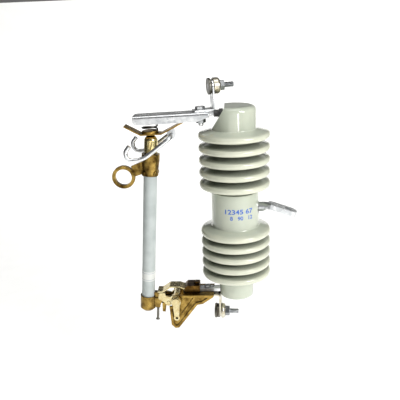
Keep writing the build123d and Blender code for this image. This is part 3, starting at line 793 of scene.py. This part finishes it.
@dataclass
class SubAssembly:
    """Pieces that ride on one body.

    Attributes:
        body: the body they ride on.
    """

    body: Body

    def add(
        self,
        name: str,
        bm: bmesh.types.BMesh,
        finish: Finish,
        slot: str,
        replaced: tuple[str, ...] = (),
        sharp: float = 40.0,
    ) -> bpy.types.Object:
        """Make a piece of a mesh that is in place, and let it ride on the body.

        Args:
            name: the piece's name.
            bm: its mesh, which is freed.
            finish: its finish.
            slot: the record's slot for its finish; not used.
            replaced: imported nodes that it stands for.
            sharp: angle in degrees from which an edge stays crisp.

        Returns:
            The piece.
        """
        bmesh.ops.recalc_face_normals(bm, faces=bm.faces)
        mesh = to_mesh(name, bm)
        mesh.shade_smooth()
        mesh.set_sharp_from_angle(angle=math.radians(sharp))
        mesh.materials.append(finish.material())
        piece = place_object(name, mesh)
        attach(piece, self.body.value)
        for node in replaced:
            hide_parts(node)
        log.info("built %s, %d faces", name, len(mesh.polygons))
        return piece

    def soften(self, node: str, finish: Finish, edge_mm: float) -> None:
        """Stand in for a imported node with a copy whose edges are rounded.

        Args:
            node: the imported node's name.
            finish: its finish.
            edge_mm: width of the rounding.
        """
        bm = merged_copy(node)
        round_edges(bm, edge_mm)
        for face in bm.faces:
            face.material_index = 0
        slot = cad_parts[node].material_slots[0].name
        piece = self.add(f"soft_{node}", bm, finish, slot, (node,))
        weigh = piece.modifiers.new("flat_faces_lead", "WEIGHTED_NORMAL")
        weigh.keep_sharp = True

    def soften_all(self, *rows: tuple[str, Finish, float]) -> None:
        """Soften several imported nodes.

        Args:
            rows: each node's name, its finish and the width of its rounding in mm.
        """
        for row in rows:
            self.soften(*row)


@dataclass(frozen=True)
class InkMark:
    """One row of plain stamped figures, bent round the insulator's waist.

    Attributes:
        name, figures: name of the piece and what is stamped.
        centre_degrees: where its middle stands, from the front towards +X.
        level_mm: height of its middle.
        width_mm, height_mm: length of the row and height of its figures.
        columns: strips that the row is cut into, so that it bends.
        lift_mm, ink_mm: distance from the porcelain and thickness of the ink.
        type_depth, type_weight: thickness and widening of the flat type.
    """

    name: str
    figures: str
    centre_degrees: float
    level_mm: float
    width_mm: float
    height_mm: float
    columns: int = 24
    lift_mm: float = 0.02
    ink_mm: float = 0.08
    type_depth: float = 0.01
    type_weight: float = 0.025

    def flat_type(self) -> bmesh.types.BMesh:
        """Set the figures flat.

        Returns:
            Their mesh, at the size that the type has by itself.
        """
        curve = bpy.data.curves.new(self.name, "FONT")
        curve.body = self.figures
        curve.extrude = self.type_depth
        curve.offset = self.type_weight
        flat = place_object(self.name, curve)
        shaped = flat.evaluated_get(bpy.context.evaluated_depsgraph_get())
        mesh = bpy.data.meshes.new_from_object(shaped)
        bpy.data.objects.remove(flat)
        bm = bmesh.new()
        bm.from_mesh(mesh)
        bpy.data.meshes.remove(mesh)
        return bm

    def form(self, axis_x_mm: float, radius_mm: float) -> bmesh.types.BMesh:
        """Bend the figures onto the waist.

        Args:
            axis_x_mm: where the insulator's axis stands.
            radius_mm: radius of the waist.

        Returns:
            The figures' mesh, in place.
        """
        bm = self.flat_type()
        low = [min(vert.co[way] for vert in bm.verts) for way in range(3)]
        high = [max(vert.co[way] for vert in bm.verts) for way in range(3)]
        for column in range(1, self.columns):
            across = low[0] + (high[0] - low[0]) * column / self.columns
            bmesh.ops.bisect_plane(
                bm,
                geom=list(bm.verts) + list(bm.edges) + list(bm.faces),
                plane_co=(across, 0.0, 0.0),
                plane_no=(1.0, 0.0, 0.0),
            )
        for vert in bm.verts:
            across = (vert.co.x - low[0]) / (high[0] - low[0]) - 0.5
            up = (vert.co.y - low[1]) / (high[1] - low[1]) - 0.5
            out = self.lift_mm + self.ink_mm * (vert.co.z - low[2]) / (high[2] - low[2])
            turn = math.radians(self.centre_degrees) + across * self.width_mm / radius_mm
            reach = radius_mm + out
            level = self.level_mm + up * self.height_mm
            place = (axis_x_mm + reach * math.sin(turn), -reach * math.cos(turn), level)
            vert.co = Vector(place) * MM
        return bm


@dataclass
class Insulator(SubAssembly):
    """Glazed porcelain, its three cemented pockets and the stamp on its waist.

    Attributes:
        axis_x_mm, waist_radius_mm: place of the axis and radius of the waist.
        cement_cell_mm: longest edge of the roughened cement.
        cement_passes: most times that its edges are halved.
        cement_rough_mm: height of its lumps.
        lump_mm, grit_mm: width of a lump and of the grit on it.
        grit_share, sink_share: height of the grit and depth that the skin sinks,
            as shares of the lumps' height.
        cement_sharp: angle in degrees from which its edges stay crisp.
        marks: rows of the stamp.
    """

    axis_x_mm: float = -100.3
    waist_radius_mm: float = 44.7
    cement_cell_mm: float = 2.6
    cement_passes: int = 4
    cement_rough_mm: float = 0.35
    lump_mm: float = 3.0
    grit_mm: float = 1.4
    grit_share: float = 0.5
    sink_share: float = 0.6
    cement_sharp: float = 60.0
    marks: tuple[InkMark, ...] = (
        InkMark("stamp_upper_row", "12345 67", 10.0, 9.5, 54.0, 9.6),
        InkMark("stamp_lower_row", "8   90   12", 15.5, -3.0, 44.0, 8.0),
    )

    def rough_cement(self, node: str) -> None:
        """Stand in for a cement node with a copy whose skin is lumpy.

        Args:
            node: the cement node's name.
        """
        bm = merged_copy(node)
        bmesh.ops.triangulate(bm, faces=bm.faces)
        for _ in range(self.cement_passes):
            long_edges = [e for e in bm.edges if e.calc_length() > self.cement_cell_mm * MM]
            if not long_edges:
                break
            bmesh.ops.subdivide_edges(bm, edges=long_edges, cuts=1)
            bmesh.ops.triangulate(bm, faces=bm.faces)
        bm.normal_update()
        steps = []
        for vert in bm.verts:
            lump = solid_noise(vert.co * per_size(self.lump_mm))
            lump += self.grit_share * solid_noise(vert.co * per_size(self.grit_mm))
            steps.append(vert.normal * (lump - self.sink_share) * self.cement_rough_mm * MM)
        for vert, step in zip(bm.verts, steps):
            vert.co += step
        self.add(f"rough_{node}", bm, CEMENT, "cement", (node,), self.cement_sharp)

    def build(self) -> None:
        """Glaze the porcelain, roughen the cement, stamp the waist and soften the metal."""
        dress("porcelain_body", GLAZE)
        for node in ("upper_cement", "waist_cement", "lower_cement"):
            self.rough_cement(node)
        for mark in self.marks:
            bm = mark.form(self.axis_x_mm, self.waist_radius_mm)
            self.add(mark.name, bm, INK, "label")
        self.soften_all(
            ("upper_pin", ZINC, 0.8),
            ("lower_pin", ZINC, 0.8),
            ("mounting_strap", STRAP_ZINC, 0.9),
        )


@dataclass(frozen=True)
class ThreadedStud:
    """Clamp stud with a cut thread on its free end.

    Attributes:
        node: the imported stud.
        middle_mm, axis: centre of the free thread, and direction out of the clamp.
        back_mm: distance from the middle back to the hidden end.
        half_mm: half the free thread.
        chamfer_mm: length of the tip's chamfer.
        crest_mm, root_mm: radius over the thread and at its bottom.
        core_mm: radius of the plain part.
        core_slack_mm: how far above core_mm a point still counts as plain.
        step_mm: length of the step from the plain part to the thread.
        pitch_mm, rows_per_pitch: length of one turn and rows of faces in it.
        flank_slope: steepness of the flanks, 1 for a thread without flats.
        root_flat: how much of the slope is cut off at the root.
    """

    node: str
    middle_mm: Place
    axis: Place
    back_mm: float
    half_mm: float
    chamfer_mm: float = 1.0
    crest_mm: float = 5.0
    root_mm: float = 4.2
    core_mm: float = 4.5
    core_slack_mm: float = 0.1
    step_mm: float = 0.05
    pitch_mm: float = 2.0
    rows_per_pitch: int = 8
    flank_slope: float = 1.25
    root_flat: float = 0.1

    def form(self) -> bmesh.types.BMesh:
        """Cut the thread as one helix.

        Returns:
            The stud's mesh, in place.
        """
        front = self.half_mm + self.chamfer_mm
        length = front + self.half_mm
        profile = [
            (0.0, -self.back_mm),
            (self.core_mm, -self.back_mm),
            (self.core_mm, -self.half_mm - self.step_mm),
        ]
        rows = int(length / self.pitch_mm * self.rows_per_pitch)
        for row in range(rows + 1):
            profile.append((self.crest_mm, -self.half_mm + length * row / rows))
        profile.append((0.0, front))
        bm = lathe(profile)
        for vert in bm.verts:
            along = vert.co.z / MM
            radius = math.hypot(vert.co.x, vert.co.y) / MM
            if radius < self.core_mm + self.core_slack_mm:
                continue
            turn = math.atan2(vert.co.y, vert.co.x) / math.tau
            phase = (along / self.pitch_mm - turn) % 1.0
            flank = self.flank_slope * (1.0 - abs(2.0 * phase - 1.0)) - self.root_flat
            ridge = min(1.0, max(0.0, flank))
            wanted = self.root_mm + (self.crest_mm - self.root_mm) * ridge
            wanted = min(wanted, self.crest_mm - self.chamfer_mm + (front - along))
            vert.co.x *= wanted / radius
            vert.co.y *= wanted / radius
        bm.transform(stand(self.middle_mm, self.axis))
        return bm


UPPER_STUD = ThreadedStud(
    "upper_clamp_stud",
    middle_mm=(-108.822, 15.174, 233.54),
    axis=(0.960787, 0.275637, 0.030194),
    back_mm=38.35,
    half_mm=8.35,
)
LOWER_STUD = ThreadedStud(
    "lower_clamp_stud",
    middle_mm=(-106.797, -4.506, -215.5),
    axis=(0.996195, -0.087156, 0.0),
    back_mm=37.4,
    half_mm=8.5,
)


@dataclass
class TopHardware(SubAssembly):
    """Hood, its bolt, the upper terminal and the fixed contact with its hooks."""

    def build(self) -> None:
        """Soften the pressed and turned pieces and cut the stud's thread."""
        self.soften_all(
            ("top_channel", ZINC, 0.5),
            ("channel_bolt", ZINC, 0.4),
            ("channel_nut", GREY_ZINC, 0.7),
            ("upper_terminal_strap", ZINC, 0.5),
            ("upper_clamp_disc", DARK_STEEL, 0.5),
            ("upper_clamp_cup", TIN, 0.5),
            ("upper_clamp_nut", GREY_ZINC, 0.6),
            ("upper_contact_strip", STRIP_BRONZE, 0.4),
            ("spring_seat", STRIP_BRONZE, 0.4),
            ("hook_saddle", ZINC, 0.6),
        )
        dress("backup_spring", SPRING)
        dress("loadbreak_hooks", BRIGHT_ZINC)
        thread = UPPER_STUD.form()
        self.add("threaded_upper_stud", thread, GREY_ZINC, "galvanised", (UPPER_STUD.node,))


@dataclass
class Hinge(SubAssembly):
    """Hinge bracket, its contact leaves and the lower terminal.

    Attributes:
        leaves: number of leaves in the pack.
        leaf_low_mm, leaf_high_mm: lowest and highest corner of the pack.
        leaf_gap_mm: air between two leaves.
        leaf_stagger_mm: how much shorter every second leaf is.
        leaf_edge_mm: width of the rounding of a leaf's edges.
    """

    leaves: int = 6
    leaf_low_mm: Place = (-207.3, -12.0, -167.5)
    leaf_high_mm: Place = (-189.3, 12.0, -162.5)
    leaf_gap_mm: float = 0.12
    leaf_stagger_mm: float = 0.5
    leaf_edge_mm: float = 0.12

    def stack_leaves(self) -> None:
        """Stand in for the leaf pack with separate thin leaves."""
        bm = bmesh.new()
        pitch = (self.leaf_high_mm[2] - self.leaf_low_mm[2]) / self.leaves
        for leaf in range(self.leaves):
            low = Vector(self.leaf_low_mm)
            high = Vector(self.leaf_high_mm)
            low.z = self.leaf_low_mm[2] + pitch * leaf
            high.z = low.z + pitch - self.leaf_gap_mm
            high.x -= self.leaf_stagger_mm * (leaf % 2)
            size = (high - low) * MM
            middle = Matrix.Translation((low + high) / 2 * MM)
            bmesh.ops.create_cube(bm, size=1.0, matrix=middle @ Matrix.Diagonal((*size, 1.0)))
        round_edges(bm, self.leaf_edge_mm, 1)
        self.add("contact_leaves", bm, PLATED, "brass", ("hinge_leaf_pack",))

    def build(self) -> None:
        """Soften the castings, stack the leaves and cut the stud's thread."""
        self.soften_all(
            ("hinge_casting", BRONZE, 0.9),
            ("hinge_block", DARK_BRONZE, 0.8),
            ("hinge_block_bolt", DARK_BRONZE, 0.4),
            ("hinge_contact_strap", PLATED, 0.4),
            ("lower_bolt", GREY_ZINC, 0.4),
            ("lower_terminal_strap", TIN, 0.5),
            ("lower_clamp_disc", DARK_STEEL, 0.5),
            ("lower_clamp_cup", TIN, 0.5),
            ("lower_clamp_nut", GREY_ZINC, 0.6),
        )
        self.stack_leaves()
        thread = LOWER_STUD.form()
        self.add("threaded_lower_stud", thread, GREY_ZINC, "galvanised", (LOWER_STUD.node,))


@dataclass
class FuseHolder(SubAssembly):
    """Fuse tube with its label, both ferrules, the pull ring, the cap and the link's stud.

    Attributes:
        base_mm, axis: foot of the tube on its axis, and the way up along it.
        pin_level_mm: how far up the tube the ferrule's pins are.
        pin_reach_mm: distance of a pin's face from the axis.
        pin_turns: angles of the pins round the tube, in degrees.
        pin_steps: faces round a pin.
        collar, core: radius and height in mm of the corners of a pin's raised
            collar and of its dark core.
    """

    base_mm: Place = (-280.3, 0.0, -195.5)
    axis: Place = (0.08055, 0.0, 0.99675)
    pin_level_mm: float = 273.03
    pin_reach_mm: float = 17.7
    pin_turns: tuple[float, ...] = (45.0, 135.0, 225.0, 315.0)
    pin_steps: int = 24
    collar: tuple[Span, ...] = (
        (0.0, -0.5),
        (2.2, -0.5),
        (2.4, 0.1),
        (2.9, 0.35),
        (3.8, 0.3),
        (4.4, 0.0),
        (4.55, -0.6),
        (0.0, -0.6),
    )
    core: tuple[Span, ...] = ((0.0, -0.15), (1.6, -0.15), (1.9, -0.45), (0.0, -0.45))

    def pin_matrix(self, turn: float) -> Matrix:
        """Find the place of one crimp pin's face.

        Args:
            turn: its angle round the tube, in degrees.

        Returns:
            Matrix that puts the origin on the face and +Z out of it.
        """
        up = Vector(self.axis)
        across = Vector((up.z, 0.0, -up.x))
        back = Vector((0.0, 1.0, 0.0))
        out = across * math.cos(math.radians(turn)) + back * math.sin(math.radians(turn))
        place = Vector(self.base_mm) + up * self.pin_level_mm + out * self.pin_reach_mm
        return stand(tuple(place), tuple(out))

    def crimp_pins(self) -> None:
        """Give the upper ferrule's pins their raised collars and dark cores."""
        for name, profile, finish, slot in (
            ("ferrule_pin_collars", self.collar, FERRULE_BRONZE, "bronze"),
            ("ferrule_pin_cores", self.core, SPRING, "spring"),
        ):
            joined = bmesh.new()
            for turn in self.pin_turns:
                bm = lathe(list(profile), self.pin_steps)
                bm.transform(self.pin_matrix(turn))
                mesh = to_mesh("pin", bm)
                joined.from_mesh(mesh)
                bpy.data.meshes.remove(mesh)
            self.add(name, joined, finish, slot)

    def build(self) -> None:
        """Dress the tube and soften the castings on it."""
        dress("fuse_tube", FIBRE)
        dress("tube_label", FILM)
        self.soften_all(
            ("upper_ferrule", FERRULE_BRONZE, 1.1),
            ("contact_cap", CAP_BRASS, 0.5),
            ("lower_ferrule", FERRULE_BRONZE, 0.8),
            ("link_stud", DARK_STEEL, 0.3),
            ("link_nut", DARK_STEEL, 0.4),
        )
        self.crimp_pins()


@dataclass
class MovingHinge(SubAssembly):
    """Trunnion and the pin that the fuse holder toggles on."""

    def build(self) -> None:
        """Soften the trunnion and its pin."""
        self.soften_all(("trunnion", PLATED, 0.7), ("toggle_pin", PLATED, 0.3))


@dataclass
class Ejector(SubAssembly):
    """Lever that flips the link out of the tube."""

    def build(self) -> None:
        """Soften the lever."""
        self.soften_all(("ejector_lever", PLATED, 0.7))


@dataclass(frozen=True)
class SoftBox:
    """One rectangular light.

    Attributes:
        name: the light's name.
        place: its centre.
        size: width and height.
        power: watts.
        target: the point it faces.
    """

    name: str
    place: Place
    size: Span
    power: float
    target: Place = (-0.12, 0.0, 0.0)

    def hang(self) -> None:
        """Hang the light in the scene."""
        data = bpy.data.lights.new(self.name, "AREA")
        data.shape = "RECTANGLE"
        data.size, data.size_y = self.size
        data.energy = self.power
        aim = Vector(self.target) - Vector(self.place)
        turn = aim.to_track_quat("-Z", "Y").to_matrix().to_4x4()
        light = place_object(self.name, data)
        light.matrix_world = Matrix.Translation(Vector(self.place)) @ turn


@dataclass
class Studio:
    """Camera, floor and lights.

    Attributes:
        camera_place: the camera's place.
        yaw, pitch, roll: its turn to the right of +Y, its look down and its lean.
        lens_mm, sensor_mm: focal length and width of the sensor.
        clip: nearest and farthest distance it sees.
        floor_level: height of the floor.
        floor_left, floor_right, floor_front: three of its edges.
        floor_back: where it starts to sweep up.
        sweep_radius, sweep_steps: radius of the sweep and faces round it.
        wall_height: height of the wall above the sweep.
        floor_power: strength of the floor's own light.
        floor_spread, floor_lean: width of that light and its lean, in degrees.
        horizon_glow, ceiling_glow: strength of the air near the floor and overhead.
        glow_heights: slopes of view between which the one becomes the other.
        left_share: share of the glow that is left on the far left.
        left_span: directions between which the glow comes back.
        boxes: the lights that the object stands in.
    """

    camera_place: Place = (-0.1007, -1.0046, 0.3516)
    yaw: float = -0.0658
    pitch: float = 0.3182
    roll: float = -0.0388
    lens_mm: float = 50.1
    sensor_mm: float = 36.0
    clip: Span = (0.05, 50.0)
    floor_level: float = -0.46
    floor_left: float = -1.6
    floor_right: float = 1.25
    floor_front: float = -3.5
    floor_back: float = 1.3
    sweep_radius: float = 0.8
    sweep_steps: int = 32
    wall_height: float = 0.12
    floor_power: float = 3.1
    floor_spread: float = 90.0
    floor_lean: float = 35.0
    horizon_glow: float = 0.22
    ceiling_glow: float = 0.12
    glow_heights: Span = (0.05, 0.3)
    left_share: float = 0.2
    left_span: Span = (-0.9, 0.1)
    boxes: tuple[SoftBox, ...] = (
        SoftBox("key_box", (1.05, -1.1, 0.8), (0.7, 0.7), 25.0),
        SoftBox("spark", (0.5, -1.4, -0.09), (0.1, 0.07), 1.1, target=(-0.12, 0.0, 0.05)),
        SoftBox("front_card", (0.0, -2.2, -0.1), (2.0, 0.8), 3.0),
        SoftBox("top_box", (-0.1, -0.3, 1.6), (1.2, 1.0), 9.0),
    )

    def place_camera(self) -> None:
        """Set the camera to the photograph's viewpoint."""
        ahead, down = math.cos(self.pitch), math.sin(self.pitch)
        forward = Vector((math.sin(self.yaw) * ahead, math.cos(self.yaw) * ahead, -down))
        level_right = Vector((math.cos(self.yaw), -math.sin(self.yaw), 0.0))
        level_up = level_right.cross(forward)
        right = level_right * math.cos(self.roll) + level_up * math.sin(self.roll)
        upward = level_up * math.cos(self.roll) - level_right * math.sin(self.roll)
        turn = Matrix((right, upward, -forward)).transposed().to_4x4()
        data = bpy.data.cameras.new("photo_camera")
        data.lens = self.lens_mm
        data.sensor_width = self.sensor_mm
        data.clip_start, data.clip_end = self.clip
        camera = place_object("photo_camera", data)
        camera.matrix_world = Matrix.Translation(Vector(self.camera_place)) @ turn
        bpy.context.scene.camera = camera

    def lay_floor(self) -> bpy.types.Object:
        """Lay a pale floor that sweeps up into a low back wall.

        Returns:
            The floor.
        """
        bm = bmesh.new()
        sides = (self.floor_left, self.floor_right)
        ends = [bm.verts.new((side, self.floor_front, self.floor_level)) for side in sides]
        edge = bm.edges.new(ends)
        moved = bmesh.ops.extrude_edge_only(bm, edges=[edge])["geom"]
        verts = [item for item in moved if isinstance(item, bmesh.types.BMVert)]
        run = Vector((0.0, self.floor_back - self.floor_front, 0.0))
        bmesh.ops.translate(bm, verts=verts, vec=run)
        back = [item for item in moved if isinstance(item, bmesh.types.BMEdge)]
        spun = bmesh.ops.spin(
            bm,
            geom=back + verts,
            cent=(0.0, self.floor_back, self.floor_level + self.sweep_radius),
            axis=(1.0, 0.0, 0.0),
            angle=math.radians(90),
            steps=self.sweep_steps,
        )["geom_last"]
        edges = [item for item in spun if isinstance(item, bmesh.types.BMEdge)]
        raised = bmesh.ops.extrude_edge_only(bm, edges=edges)["geom"]
        verts = [item for item in raised if isinstance(item, bmesh.types.BMVert)]
        bmesh.ops.translate(bm, verts=verts, vec=(0.0, 0.0, self.wall_height))
        bmesh.ops.recalc_face_normals(bm, faces=bm.faces)
        mesh = to_mesh("studio_floor", bm)
        mesh.shade_smooth()
        mesh.materials.append(FLOOR.material())
        floor = place_object("studio_floor", mesh)
        return floor

    def light_floor(self, floor: bpy.types.Object) -> None:
        """Light the floor alone, as a studio does for a white background.

        Args:
            floor: the floor.
        """
        lit = bpy.data.collections.new("lit_floor")
        lit.objects.link(floor)
        data = bpy.data.lights.new("floor_light", "SUN")
        data.energy = self.floor_power
        data.angle = math.radians(self.floor_spread)
        data.use_shadow = False
        light = place_object("floor_light", data)
        light.rotation_euler = (math.radians(self.floor_lean), 0.0, 0.0)
        light.light_linking.receiver_collection = lit

    def set_air(self) -> None:
        """Give the room a dark ceiling, pale walls and a darker left side."""
        world = bpy.data.worlds.new("studio_air")
        bpy.context.scene.world = world
        world.use_nodes = True
        tree = world.node_tree
        ways = add_node(tree, "ShaderNodeTexCoord").outputs["Generated"]
        way = add_node(tree, "ShaderNodeSeparateXYZ", {"Vector": ways})
        glow = (self.horizon_glow, self.ceiling_glow)
        strength = maths(
            tree,
            "MULTIPLY",
            ramp(tree, way.outputs["Z"], self.glow_heights, glow),
            ramp(tree, way.outputs["X"], self.left_span, (self.left_share, 1.0)),
        )
        white = (1.0, 1.0, 1.0, 1.0)
        feed(tree, tree.nodes["Background"], {"Color": white, "Strength": strength})

    def build(self) -> None:
        """Set the camera, the floor, the air and the lights."""
        self.place_camera()
        self.light_floor(self.lay_floor())
        self.set_air()
        for box in self.boxes:
            box.hang()
        bpy.context.scene.view_settings.view_transform = "Standard"


def main() -> None:
    """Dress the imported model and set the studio."""
    logging.basicConfig(level=logging.INFO, format="%(name)s: %(message)s")
    Insulator(Body.INSULATOR).build()
    TopHardware(Body.INSULATOR).build()
    Hinge(Body.INSULATOR).build()
    MovingHinge(Body.TRUNNION).build()
    FuseHolder(Body.HOLDER).build()
    Ejector(Body.EJECTOR).build()
    Studio().build()


if __name__ == "__main__":
    main()
